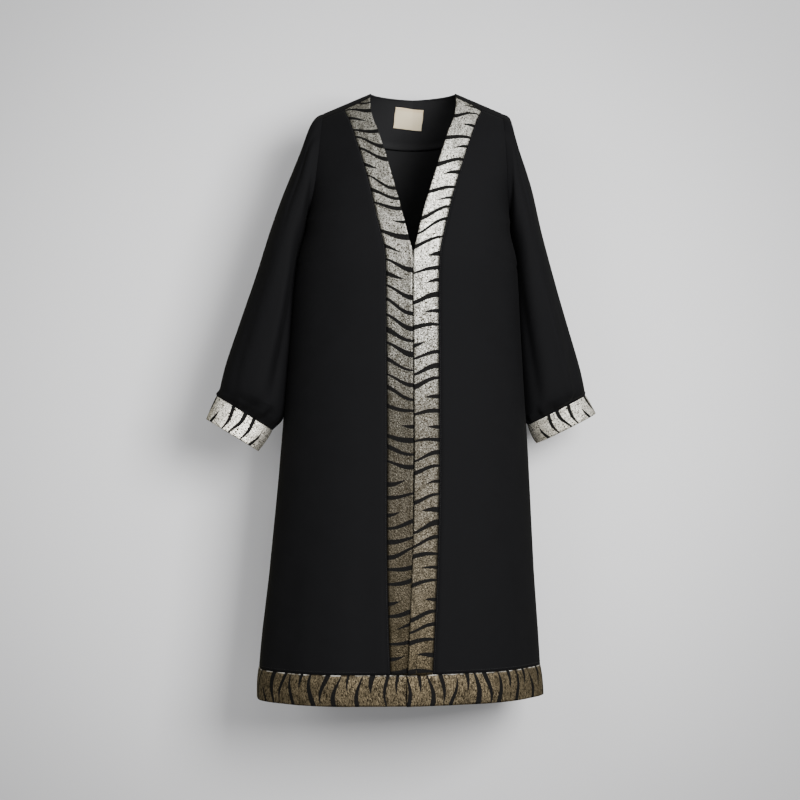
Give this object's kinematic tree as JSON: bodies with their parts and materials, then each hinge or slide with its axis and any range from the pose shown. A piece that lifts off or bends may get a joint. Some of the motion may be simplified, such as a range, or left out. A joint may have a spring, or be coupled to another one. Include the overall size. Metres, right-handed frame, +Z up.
{
  "type": "manteau",
  "caption": "Long open-front manteau without a collar, in black crepe, with tiger-striped metallic borders down both fronts, round the hem and on the gathered cuffs.",
  "frame": {"origin": "between the shoulders, level with the wearer's neck, where the worn garment is held up", "axes": "+Z up, -Y the way the front faces, +X to the wearer's left"},
  "size_m": [0.7292, 0.3107, 1.1212],
  "materials": {
    "crepe": "matt, fine crepe",
    "metallic_cloth": "crackled metallic foil on cloth, with dark tiger stripes",
    "label_satin": "soft satin"
  },
  "bodies": {
    "root": {"back": "crepe", "front_right": "crepe", "front_left": "crepe", "sleeve_right_upper": "crepe", "sleeve_right_lower": "crepe", "sleeve_left_upper": "crepe", "sleeve_left_lower": "crepe", "front_border_right": "metallic_cloth", "front_border_left": "metallic_cloth", "hem_border_right": "metallic_cloth", "hem_border_left": "metallic_cloth", "hem_border_back": "metallic_cloth", "cuff_right": "metallic_cloth", "cuff_left": "metallic_cloth", "neck_facing": "crepe", "neck_label": "label_satin"}
  },
  "joints": []
}
